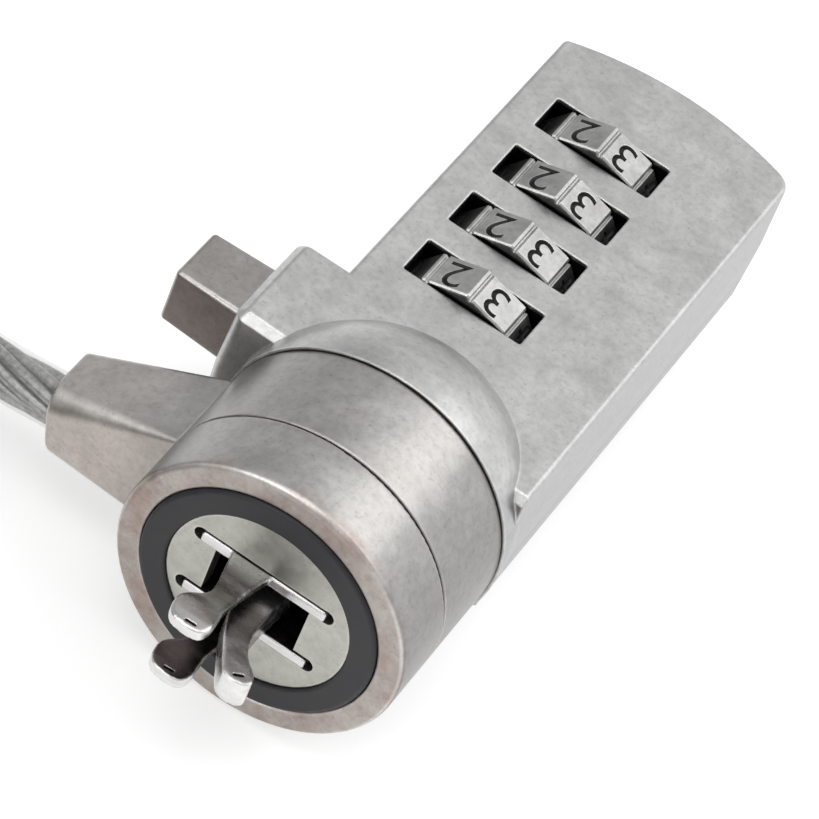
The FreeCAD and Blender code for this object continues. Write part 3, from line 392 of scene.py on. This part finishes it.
def cast_metal(name, low, high, rough, tint=(0.30, 0.25, 0.21), stain=0.3, metallic=1.0, round_edge=0.22,
               front=None, side=None, seam=None, flank_shade=None, rim=None, inside=None,
               side_band_shade=None, arm_painted_light=None, lip_highlight=None):
    """Bead-blasted nickel over a zinc casting: fine grain, soft mottling, faint stains, and edges brightened
    part as wear and part as painted highlight; optional painted shade and highlights by face direction and
    place.
    """
    paint = Paint(name)
    paint.set(Metallic=metallic)
    cloud = paint.noise(420.0, detail=6.0, roughness=0.62)
    speck = paint.noise(1900.0, detail=2.0)
    pits = paint.noise(3600.0, detail=2.0)
    base = paint.ramp(cloud, [(0.30, low), (0.68, high)])
    speckled = paint.mix(paint.span(speck, 0.42, 0.75, 0.0, 0.36), base, tuple(0.68 * value for value in low))
    pitted = tuple(0.60 * value for value in low)
    speckled = paint.mix(paint.span(pits, 0.60, 0.74, 0.0, 0.45), speckled, pitted)
    patch = paint.noise(150.0, detail=5.0, roughness=0.7, distortion=0.5)
    colour = paint.mix(paint.span(patch, 0.54, 0.78, 0.0, stain), speckled, tint)
    parts = paint.node("ShaderNodeSeparateXYZ")
    paint.link(paint.coordinates.outputs["Normal"], parts.inputs["Vector"])
    # Painted shade: faces turned to the front (-Y) are multiplied darker, and warmer on the nose.
    if front:
        share = paint.span(parts.outputs["Y"], -0.97, -0.80, 1.0, 0.0)
        colour = paint.mix(share, colour, front, "MULTIPLY")
    # Painted shade: faces turned to +X are multiplied darker.
    if side:
        share = paint.span(parts.outputs["X"], 0.75, 0.95, 0.0, 1.0)
        colour = paint.mix(share, colour, side, "MULTIPLY")
    # Painted shade: faces turned along +-Y, such as the wheels' sides in the gaps, are multiplied darker.
    if flank_shade:
        steep = paint.node("ShaderNodeMath", operation="ABSOLUTE")
        paint.link(parts.outputs["Y"], steep.inputs[0])
        share = paint.span(steep.outputs["Value"], 0.90, 0.98, 0.0, 1.0)
        colour = paint.mix(share, colour, flank_shade, "MULTIPLY")
    # Painted shade: where the normal turns far toward +-X, the nose's sides are multiplied darker.
    if side_band_shade:
        wide = paint.node("ShaderNodeMath", operation="ABSOLUTE")
        paint.link(parts.outputs["X"], wide.inputs[0])
        share = paint.span(wide.outputs["Value"], 0.50, 0.90, 0.0, 1.0)
        colour = paint.mix(share, colour, side_band_shade, "MULTIPLY")
    if rim:
        reach = paint.node("ShaderNodeSeparateXYZ")
        paint.link(paint.coordinates.outputs["Object"], reach.inputs["Vector"])
        near = paint.span(reach.outputs["Y"], 0.0007, 0.0014, 1.0, 0.0)
        wear_and_sheen = paint.node("ShaderNodeMath", operation="MULTIPLY")
        paint.link(near, wear_and_sheen.inputs[0])
        patches = paint.noise(260.0, detail=5.0, roughness=0.7)
        paint.link(paint.span(patches, 0.42, 0.62, 0.0, 0.8), wear_and_sheen.inputs[1])
        colour = paint.mix(wear_and_sheen.outputs["Value"], colour, rim, "MULTIPLY")
    # Painted light: points further out than x = -12 mm, the cable boss, are multiplied lighter.
    if arm_painted_light:
        along = paint.node("ShaderNodeSeparateXYZ")
        paint.link(paint.coordinates.outputs["Object"], along.inputs["Vector"])
        share = paint.span(along.outputs["X"], -0.0150, -0.0120, 1.0, 0.0)
        colour = paint.mix(share, colour, arm_painted_light, "MULTIPLY")
    # Painted highlight: faces turned halfway between front and top are multiplied brighter.
    if lip_highlight:
        turned = paint.node("ShaderNodeMath", operation="ADD")
        paint.link(parts.outputs["Y"], turned.inputs[0])
        turned.inputs[1].default_value = 0.66
        width = paint.node("ShaderNodeMath", operation="ABSOLUTE")
        paint.link(turned.outputs["Value"], width.inputs[0])
        colour = paint.mix(paint.span(width.outputs["Value"], 0.04, 0.28, 1.0, 0.0), colour, lip_highlight, "MULTIPLY")
    # Edges mixed toward a brighter tone: part wear, part painted highlight.
    colour = paint.mix(worn_edges(paint, 0.40, 0.75), colour, tuple(1.35 * value for value in high))
    # Painted shade inside the housing's cavity box.
    if inside:
        colour = inside_dark(paint, colour, inside)
    grain = paint.noise(4200.0, detail=2.0)
    waves = paint.noise(520.0, detail=3.0)
    soft = paint.node("ShaderNodeBevel")
    soft.samples = 6
    soft.inputs["Radius"].default_value = round_edge * MM
    fine = paint.bump(grain, 0.20, 0.00004, soft.outputs["Normal"])
    normal = paint.bump(waves, 0.12, 0.00012, fine)
    if seam is not None:
        place = paint.node("ShaderNodeSeparateXYZ")
        paint.link(paint.coordinates.outputs["Object"], place.inputs["Vector"])
        away = paint.node("ShaderNodeMath", operation="SUBTRACT")
        paint.link(place.outputs["Z"], away.inputs[0])
        away.inputs[1].default_value = seam * MM
        gap = paint.node("ShaderNodeMath", operation="ABSOLUTE")
        paint.link(away.outputs["Value"], gap.inputs[0])
        line = paint.span(gap.outputs["Value"], 0.00004, 0.00012, 1.0, 0.0)
        colour = paint.mix(line, colour, tuple(0.6 * value for value in low))
        ridge = paint.span(gap.outputs["Value"], 0.0, 0.00025, 1.0, 0.0)
        normal = paint.bump(ridge, 0.5, 0.00008, normal)
    roughness = paint.span(cloud, 0.3, 0.7, rough - 0.05, rough + 0.07)
    return paint.finish(colour, roughness, normal)


def bright_steel(name, low, high, rough, stretch=(1.0, 1.0, 1.0), scale=900.0):
    """Ground or drawn steel with fine drag lines."""
    paint = Paint(name)
    paint.set(Metallic=1.0)
    lines = paint.noise(scale, detail=3.0, stretch=stretch)
    colour = paint.ramp(lines, [(0.3, low), (0.7, high)])
    roughness = paint.span(lines, 0.3, 0.7, rough - 0.05, rough + 0.06)
    normal = paint.bump(lines, 0.12, 0.00004)
    return paint.finish(colour, roughness, normal)


def rubber_paint():
    paint = Paint("rubber_black")
    paint.set(Metallic=0.0)
    dust = paint.noise(700.0, detail=4.0)
    colour = paint.ramp(dust, [(0.35, (0.006, 0.005, 0.007)), (0.75, (0.017, 0.015, 0.019))])
    roughness = paint.span(dust, 0.3, 0.7, 0.45, 0.62)
    return paint.finish(colour, roughness, paint.bump(paint.noise(2600.0), 0.12, 0.00003))


def vinyl_paint():
    paint = Paint("clear_vinyl")
    paint.set(Metallic=0.0)
    cloud = paint.noise(300.0, detail=3.0)
    colour = paint.ramp(cloud, [(0.3, (0.50, 0.50, 0.48)), (0.7, (0.66, 0.66, 0.64))])
    paint.set(Alpha=0.20, IOR=1.45)
    return paint.finish(colour, paint.span(cloud, 0.3, 0.7, 0.12, 0.24))


def plastic_paint():
    paint = Paint("tie_plastic")
    weave = paint.noise(1600.0, detail=3.0)
    colour = paint.ramp(weave, [(0.3, (0.014, 0.014, 0.015)), (0.7, (0.035, 0.035, 0.037))])
    return paint.finish(colour, paint.span(weave, 0.3, 0.7, 0.5, 0.65), paint.bump(weave, 0.25, 0.00006))


# Near-black paint for the engraved digits and the tips' slits: painted shade in the recesses.
def dirt_paint():
    paint = Paint("engraving_painted_shade")
    paint.set(Metallic=0.35)
    dust = paint.noise(1500.0, detail=3.0)
    colour = paint.ramp(dust, [(0.3, (0.010, 0.010, 0.011)), (0.7, (0.035, 0.034, 0.034))])
    return paint.finish(colour, paint.span(dust, 0.3, 0.7, 0.55, 0.75))


def worn_steel(name, face):
    """Hook steel: dull and dark in the necks, bright at the tips, part wear and part painted reflection, with
    painted shade on the upward flat faces.
    """
    paint = Paint(name)
    paint.set(Metallic=1.0)
    place = paint.node("ShaderNodeSeparateXYZ")
    paint.link(paint.coordinates.outputs["Object"], place.inputs["Vector"])
    drag = paint.noise(1300.0, detail=3.0, stretch=(0.4, 1.0, 1.0))
    dull = paint.ramp(drag, [(0.3, (0.22, 0.21, 0.205)), (0.7, (0.34, 0.33, 0.32))])
    bright = paint.ramp(drag, [(0.3, (0.60, 0.595, 0.59)), (0.7, (0.78, 0.775, 0.77))])
    parts = paint.node("ShaderNodeSeparateXYZ")
    paint.link(paint.coordinates.outputs["Normal"], parts.inputs["Vector"])
    flat = paint.span(parts.outputs["Z"], 0.86, 0.985, 0.0, 1.0)
    # Tips and roots lighter, necks darker, by place: part wear, part painted reflection.
    wear_and_sheen = paint.node("ShaderNodeMath", operation="ADD")
    paint.link(paint.span(place.outputs["Y"], -0.0050, -0.0036, 1.0, 0.0), wear_and_sheen.inputs[0])
    paint.link(paint.span(place.outputs["Y"], -0.0016, -0.0002, 0.0, 0.9), wear_and_sheen.inputs[1])
    soft = paint.node("ShaderNodeBevel")
    soft.samples = 6
    soft.inputs["Radius"].default_value = 0.15 * MM
    normal = paint.bump(drag, 0.10, 0.00004, soft.outputs["Normal"])
    colour = paint.mix(wear_and_sheen.outputs["Value"], dull, bright)
    # Painted shade on the upward flat faces; on the lower plate a painted shadow of the upper plate.
    colour = paint.mix(flat, colour, face, "MULTIPLY")
    return paint.finish(colour, paint.span(drag, 0.3, 0.7, 0.20, 0.32), normal)


# On the housing, the +X side, the front faces and the cavity get painted shade; the seam is a dark joint.
HOUSING = cast_metal("housing_nickel", (0.50, 0.50, 0.495), (0.62, 0.62, 0.615), 0.38, stain=0.20,
                     tint=(0.36, 0.35, 0.34), side=(0.76, 0.76, 0.78), front=(0.50, 0.49, 0.48), seam=-3.7,
                     inside=((-7.9, 25.25, -4.96), (9.15, 54.35, 5.55)))
# On the nose, front faces and the cylinder's sides get painted shade, the cable boss painted light and the
# front-to-top turn a painted highlight; the reddish rim tint is a stain.
NOSE = cast_metal("nose_nickel", (0.41, 0.40, 0.385), (0.52, 0.51, 0.495), 0.36, stain=0.30, round_edge=0.3,
                  front=(0.86, 0.81, 0.785), rim=(0.80, 0.66, 0.62), side_band_shade=(0.61, 0.61, 0.62),
                  arm_painted_light=(1.20, 1.18, 1.17), lip_highlight=(1.5, 1.5, 1.5))
# The button's front faces get painted shade.
BUTTON = cast_metal("button_nickel", (0.36, 0.345, 0.33), (0.45, 0.435, 0.42), 0.30, stain=0.35,
                    front=(0.52, 0.47, 0.46))
DISC = cast_metal("disc_nickel", (0.385, 0.385, 0.35), (0.48, 0.48, 0.44), 0.36, stain=0.16, round_edge=0.1)
# The wheels' sides get painted shade.
DIAL = cast_metal("dial_nickel", (0.36, 0.36, 0.355), (0.54, 0.54, 0.53), 0.34, stain=0.2, round_edge=0.10,
                  flank_shade=(0.12, 0.12, 0.12))
# Face colours: painted shade on the upward flat faces, darkest on the lower plate as a painted shadow of the
# upper plate.
HOOK = worn_steel("hook_steel", (0.74, 0.73, 0.72))
HOOK_LOW = worn_steel("hook_steel_painted_shadow", (0.24, 0.20, 0.205))
HOOK_MID = worn_steel("hook_steel_painted_shade", (0.60, 0.58, 0.58))
# Near-black steel for the inner parts seen through the gaps: painted shade in the cavity.
CAVITY_SHADE_STEEL = bright_steel("cavity_steel_painted_shade", (0.075, 0.072, 0.070), (0.13, 0.125, 0.12), 0.45)
STEEL = bright_steel("inner_steel", (0.40, 0.40, 0.40), (0.56, 0.56, 0.55), 0.35)
WIRE = bright_steel("wire_steel", (0.27, 0.27, 0.26), (0.52, 0.52, 0.51), 0.40, scale=2400.0)
RUBBER = rubber_paint()
VINYL = vinyl_paint()
STRAP = plastic_paint()
RECESS_SHADE = dirt_paint()

NODE_PAINT = {
    "housing": HOUSING, "bottom_cover": HOUSING, "front_ring": NOSE, "swivel_collar": NOSE,
    "push_button": BUTTON, "face_disc": DISC, "rubber_washer": RUBBER, "upper_hook": HOOK,
    "lower_hook": HOOK, "centre_hook": HOOK, "coil_ties": STRAP, "eye_ferrule": STEEL,
    "hook_carrier": CAVITY_SHADE_STEEL, "detent_comb": CAVITY_SHADE_STEEL, "dial_hub_1": CAVITY_SHADE_STEEL, "dial_hub_2": CAVITY_SHADE_STEEL, "dial_hub_3": CAVITY_SHADE_STEEL,
    "dial_hub_4": CAVITY_SHADE_STEEL, "dial_1": DIAL, "dial_2": DIAL, "dial_3": DIAL, "dial_4": DIAL,
    "cable": VINYL, "cable_coil": VINYL, "cable_tail": VINYL, "cable_eye": VINYL,
}


def paint_piece(piece, material):
    piece.data.materials.clear()
    piece.data.materials.append(material)


for node_name, node_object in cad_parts.items():
    wanted = NODE_PAINT.get(node_name, STEEL)
    if node_object.material_slots:
        for slot_ in node_object.material_slots:
            slot_.material = wanted

jacket_, strands_, eye_, eye_strands_ = CABLE_PIECES
for piece_ in (jacket_, eye_):
    paint_piece(piece_, VINYL)
for piece_ in (strands_, eye_strands_):
    paint_piece(piece_, WIRE)


# ---------------------------------------------------------------- dials with engraved digits
DIAL_X, DIAL_Z, DIAL_R, DIAL_WIDE = -1.7, 1.1, 5.8, 3.3
DIAL_BORE, DIAL_CHAMFER = 3.45, 0.13
DIAL_Y = [28.96 + 6.27 * number for number in range(4)]


def apply_modifiers(piece):
    graph = bpy.context.evaluated_depsgraph_get()
    mesh = bpy.data.meshes.new_from_object(piece.evaluated_get(graph), depsgraph=graph)
    piece.modifiers.clear()
    piece.data = mesh


def digit_cutter(number, y):
    """All ten digits of a wheel as one joined mesh, sunk into the wheel's flats."""
    made = []
    flat = DIAL_R * math.cos(math.pi / 10)
    for digit in range(10):
        data = bpy.data.curves.new("digit_%d_%d" % (number, digit), "FONT")
        data.body = str(digit)
        data.size = 3.75 * MM
        data.extrude = 0.5 * MM
        data.align_x = "CENTER"
        data.align_y = "CENTER"
        data.resolution_u = 4
        piece = bpy.data.objects.new(data.name, data)
        scene.collection.objects.link(piece)
        angle = math.radians(90 + 18 - 36 * (digit - 2))
        outward = Vector((math.cos(angle), 0, math.sin(angle)))
        up = Vector((0, -1, 0))
        right = up.cross(outward)
        turn = Matrix((right, up, outward)).transposed().to_4x4()
        depth = flat + 0.5 - 0.36
        place = Vector((DIAL_X, y, DIAL_Z)) + outward * depth
        piece.matrix_world = Matrix.Translation(place * MM) @ turn
        bpy.context.view_layer.update()
        graph = bpy.context.evaluated_depsgraph_get()
        mesh = bpy.data.meshes.new_from_object(piece.evaluated_get(graph), depsgraph=graph)
        mesh.transform(piece.matrix_world)
        made.append(mesh)
        bpy.data.objects.remove(piece)
    work = bmesh.new()
    for mesh in made:
        work.from_mesh(mesh)
    bmesh.ops.remove_doubles(work, verts=work.verts, dist=0.000001)
    bmesh.ops.recalc_face_normals(work, faces=work.faces)
    joined = bpy.data.meshes.new("digits_%d" % number)
    work.to_mesh(joined)
    work.free()
    joined.materials.clear()
    joined.materials.append(RECESS_SHADE)
    piece = bpy.data.objects.new("digits_%d" % number, joined)
    scene.collection.objects.link(piece)
    return piece


def wheel_section():
    """A ten-sided outline with a narrow notch just before every corner."""
    section = []
    for index in range(10):
        here, after = math.radians(90 + 36 * index), math.radians(126 + 36 * index)
        a = Vector((math.cos(here), math.sin(here))) * DIAL_R
        b = Vector((math.cos(after), math.sin(after))) * DIAL_R
        edge = (b - a).normalized()
        inward = -((a + b) / 2).normalized()
        length = (b - a).length
        section.append(a)
        section.append(a + edge * (length - 0.56))
        section.append(a + edge * (length - 0.45) + inward * 0.18)
        section.append(a + edge * (length - 0.33) + inward * 0.18)
        section.append(a + edge * (length - 0.22))
    return section


def ring_prism(name, section, bore, y0, y1, chamfer):
    """A ring along Y about the dials' axis: an outline outside, a round bore inside, its rims chamfered."""
    work = bmesh.new()
    shrink = 1.0 - chamfer / DIAL_R
    rows = []
    profile = ((y0, 0.0), (y0, shrink), (y0 + chamfer, 1.0), (y1 - chamfer, 1.0), (y1, shrink), (y1, 0.0))
    for y, scale in profile:
        row = []
        for point in section:
            place = point * scale if scale else point.normalized() * bore
            row.append(work.verts.new(((DIAL_X + place.x) * MM, y * MM, (DIAL_Z + place.y) * MM)))
        rows.append(row)
    count = len(section)
    for front, back in zip(rows, rows[1:] + rows[:1]):
        for index in range(count):
            follower = (index + 1) % count
            work.faces.new((front[follower], front[index], back[index], back[follower]))
    bmesh.ops.recalc_face_normals(work, faces=work.faces)
    mesh = bpy.data.meshes.new(name)
    work.to_mesh(mesh)
    work.free()
    piece = bpy.data.objects.new(name, mesh)
    scene.collection.objects.link(piece)
    return piece


def make_dials():
    for number, y in enumerate(DIAL_Y, start=1):
        wheel = ring_prism("code_wheel_%d" % number, wheel_section(), DIAL_BORE, y - DIAL_WIDE / 2,
                           y + DIAL_WIDE / 2, DIAL_CHAMFER)
        wheel.data.materials.append(DIAL)
        wheel.data.materials.append(RECESS_SHADE)
        cutter = digit_cutter(number, y)
        modifier = wheel.modifiers.new("digits", "BOOLEAN")
        modifier.operation = "DIFFERENCE"
        modifier.solver = "EXACT"
        modifier.object = cutter
        if hasattr(modifier, "material_mode"):
            modifier.material_mode = "TRANSFER"
        bpy.context.view_layer.update()
        apply_modifiers(wheel)
        bpy.data.objects.remove(cutter)
        if len(wheel.data.polygons) < 400:
            raise RuntimeError("code wheel %d lost its shape" % number)
        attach(wheel, "dial_body_%d" % number)
        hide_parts("dial_%d" % number)


make_dials()


# ---------------------------------------------------------------- hooks
PIN_X, PIN_Y = -0.3, 9.25


def slab(name, outline, z0, z1):
    """A flat slab from an outline of (x, y) points in mm."""
    work = bmesh.new()
    low = [work.verts.new((x * MM, y * MM, z0 * MM)) for x, y in outline]
    high = [work.verts.new((x * MM, y * MM, z1 * MM)) for x, y in outline]
    work.faces.new(list(reversed(low)))
    work.faces.new(high)
    count = len(outline)
    for index in range(count):
        follower = (index + 1) % count
        work.faces.new((low[index], low[follower], high[follower], high[index]))
    bmesh.ops.recalc_face_normals(work, faces=work.faces)
    mesh = bpy.data.meshes.new(name)
    work.to_mesh(mesh)
    work.free()
    piece = bpy.data.objects.new(name, mesh)
    scene.collection.objects.link(piece)
    return piece


def cut_corners(outline, keep_after, rounds=2):
    """The outline with its corners cut, except those deeper in the nose than keep_after."""
    for _ in range(rounds):
        out = []
        count = len(outline)
        for index, (x, y) in enumerate(outline):
            bx, by = outline[index - 1]
            ax, ay = outline[(index + 1) % count]
            if y > keep_after:
                out.append((x, y))
                continue
            out.append((x + (bx - x) * 0.25, y + (by - y) * 0.25))
            out.append((x + (ax - x) * 0.25, y + (ay - y) * 0.25))
        outline = out
    return outline


def bore(piece, x, y, radius, z0, z1):
    turns = [step * math.pi / 16 for step in range(32)]
    ring = [(x + radius * math.cos(turn), y + radius * math.sin(turn)) for turn in turns]
    tool = slab("bore_tool", ring, z0, z1)
    cutter = piece.modifiers.new("bore", "BOOLEAN")
    cutter.operation = "DIFFERENCE"
    cutter.solver = "EXACT"
    cutter.object = tool
    bpy.context.view_layer.update()
    apply_modifiers(piece)
    bpy.data.objects.remove(tool)


def forge(piece, voxel, passes):
    """Even out the mesh and soften every edge."""
    remesh = piece.modifiers.new("remesh", "REMESH")
    remesh.mode = "VOXEL"
    remesh.voxel_size = voxel * MM
    smooth = piece.modifiers.new("smooth", "SMOOTH")
    smooth.factor = 0.5
    smooth.iterations = passes
    bpy.context.view_layer.update()
    apply_modifiers(piece)
    piece.data.polygons.foreach_set("use_smooth", [True] * len(piece.data.polygons))


def slit(piece, x, y, z, angle, long=0.85, wide=0.2, deep=0.5):
    """A short slit, sunk from above near a tip, its walls painted near-black as shade."""
    way = Vector((math.cos(angle), math.sin(angle)))
    across = Vector((-way.y, way.x))
    corners = []
    for step in range(16):
        turn = 2 * math.pi * step / 16
        end = way * (long / 2 - wide / 2) * (1 if math.cos(turn) >= 0 else -1)
        spot = Vector((x, y)) + end + way * math.cos(turn) * wide / 2 + across * math.sin(turn) * wide / 2
        corners.append((spot.x, spot.y))
    tool = slab("slit_tool", corners, z - deep, z + 2.0)
    paint_piece(tool, RECESS_SHADE)
    cutter = piece.modifiers.new("slit", "BOOLEAN")
    cutter.operation = "DIFFERENCE"
    cutter.solver = "EXACT"
    cutter.object = tool
    if hasattr(cutter, "material_mode"):
        cutter.material_mode = "TRANSFER"
    bpy.context.view_layer.update()
    apply_modifiers(piece)
    bpy.data.objects.remove(tool)


def shape_plate(piece, middle, outward):
    """Dish the neck of an outer hook and lift its tip a little, as a formed plate has."""
    for vertex in piece.data.vertices:
        y = vertex.co.y / MM
        if y > 0.0:
            continue
        neck = math.exp(-((y + 2.9) / 1.3) ** 2)
        tip = max(0.0, min(1.0, (-y - 4.0) / 2.2))
        fall = -0.20 * neck + 0.10 * tip
        if (vertex.co.z / MM - middle) * outward > 0:
            vertex.co.z += outward * fall * MM
    piece.data.update()


def make_outer_hook(name, node, middle, outward):
    outline = [
        (-5.15, 0.08), (-2.8, 0.08), (-2.55, -1.2), (-2.15, -2.9), (-2.3, -3.8), (-3.35, -4.7), (-3.62, -5.3),
        (-3.6, -6.2), (-3.15, -7.0), (-2.4, -7.22), (-1.3, -7.25), (-0.7, -7.0), (-0.42, -6.3), (-0.5, -5.2),
        (-0.62, -4.2), (-0.42, -3.0), (-0.1, -1.2), (0.25, 0.08), (4.65, 0.08), (4.65, 12.4), (-5.15, 12.4),
    ]
    piece = slab(name, cut_corners(outline, -0.4), middle - 0.43, middle + 0.43)
    bore(piece, PIN_X, PIN_Y, 1.02, middle - 2, middle + 2)
    forge(piece, 0.095, 9)
    shape_plate(piece, middle, outward)
    # The lower plate gets the steel with the painted shadow.
    paint_piece(piece, HOOK if outward > 0 else HOOK_LOW)
    piece.data.materials.append(RECESS_SHADE)
    if outward > 0:
        slit(piece, -1.75, -6.78, middle + 0.40, math.radians(2), deep=0.30)
    else:
        slit(piece, -1.9, -6.75, middle + 0.30, math.radians(5), deep=0.28)
    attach(piece, "lock_body")
    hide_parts(node)


def make_centre_hook():
    outline = [
        (-1.1, 0.5), (-1.02, -1.0), (-0.85, -2.6), (-0.3, -3.9), (0.5, -5.3), (1.15, -6.6), (1.75, -7.2),
        (2.7, -7.25), (3.45, -6.95), (3.55, -6.35), (3.2, -5.75), (2.55, -5.25), (2.05, -4.7), (1.6, -3.7),
        (1.42, -2.6), (1.5, -0.8), (1.7, 1.6), (1.75, 3.5), (1.5, 9.25), (-0.95, 19.85), (-2.7, 19.85),
        (-2.2, 12.25), (-2.1, 9.25), (-1.15, 4.5),
    ]
    piece = slab("centre_hook_blade", cut_corners(outline, 2.0), -1.2, 1.2)
    work = bmesh.new()
    work.from_mesh(piece.data)
    for x, y, radius in ((PIN_X, PIN_Y, 2.3), (-1.9, 19.85, 1.2)):
        turn = Matrix.Translation(Vector((x, y, 0)) * MM)
        bmesh.ops.create_cone(work, cap_ends=True, segments=40, radius1=radius * MM, radius2=radius * MM,
                              depth=2.4 * MM, matrix=turn)
    work.to_mesh(piece.data)
    work.free()
    forge(piece, 0.12, 8)
    bore(piece, PIN_X, PIN_Y, 1.04, -3, 3)
    piece.data.polygons.foreach_set("use_smooth", [True] * len(piece.data.polygons))
    paint_piece(piece, HOOK_MID)
    piece.data.materials.append(RECESS_SHADE)
    slit(piece, 2.5, -6.62, 1.15, math.radians(30), long=0.75, deep=0.30)
    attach(piece, "hook")
    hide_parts("centre_hook")


make_outer_hook("upper_hook_plate", "upper_hook", 2.6, 1)
make_outer_hook("lower_hook_plate", "lower_hook", -2.6, -1)
make_centre_hook()


# ---------------------------------------------------------------- studio
def area_light(name, place, target, wide, high, power, colour=(1, 1, 1)):
    data = bpy.data.lights.new(name, "AREA")
    data.shape = "RECTANGLE"
    data.size = wide
    data.size_y = high
    data.energy = power
    data.color = colour
    lamp = bpy.data.objects.new(name, data)
    lamp.location = place
    way = Vector(target) - Vector(place)
    lamp.rotation_mode = "QUATERNION"
    lamp.rotation_quaternion = way.to_track_quat("-Z", "Y")
    scene.collection.objects.link(lamp)
    return lamp


def make_studio():
    half = 3.0
    floor = add_mesh("studio_floor", [(-half, -half, FLOOR_Z), (half, -half, FLOOR_Z), (half, half, FLOOR_Z),
                                      (-half, half, FLOOR_Z)], [(0, 1, 2, 3)], smooth=False)
    paint = Paint("floor_white")
    cloud = paint.noise(6.0)
    colour = paint.ramp(cloud, [(0.3, (0.60, 0.60, 0.60)), (0.7, (0.62, 0.62, 0.62))])
    paint.set(Roughness=0.9, Emission_Color=(1.0, 1.0, 1.0, 1.0), Emission_Strength=0.51)
    paint_piece(floor, paint.finish(colour))

    world = bpy.data.worlds.new("studio")
    world.use_nodes = True
    tree = world.node_tree
    background = tree.nodes["Background"]
    coordinates = tree.nodes.new("ShaderNodeTexCoord")
    aim = tree.nodes.new("ShaderNodeVectorMath")
    aim.operation = "DOT_PRODUCT"
    aim.inputs[1].default_value = (0.62, 0.60, 0.50)
    tree.links.new(coordinates.outputs["Generated"], aim.inputs[0])
    glow = tree.nodes.new("ShaderNodeMapRange")
    glow.interpolation_type = "SMOOTHSTEP"
    for socket, value in (("From Min", 0.35), ("From Max", 1.0), ("To Min", 0.57), ("To Max", 1.05)):
        glow.inputs[socket].default_value = value
    tree.links.new(aim.outputs["Value"], glow.inputs["Value"])
    tree.links.new(glow.outputs["Result"], background.inputs["Strength"])
    background.inputs["Color"].default_value = (1.0, 0.995, 1.0, 1.0)
    scene.world = world
    area_light("side_panel", (0.28, 0.24, 0.48), (0, 0.01, 0), 0.45, 0.45, 0.85)
    area_light("front_panel", (-0.27, -0.47, 0.37), (0, 0.0, 0), 0.36, 0.30, 1.0)
    area_light("top_panel", (-0.06, -0.10, 0.75), (0, 0.0, 0), 0.45, 0.45, 1.5)
    scene.view_settings.view_transform = "Standard"
    scene.view_settings.look = "None"
    scene.view_settings.exposure = 0.0
    scene.view_settings.gamma = 1.0


make_studio()

bpy.context.view_layer.update()
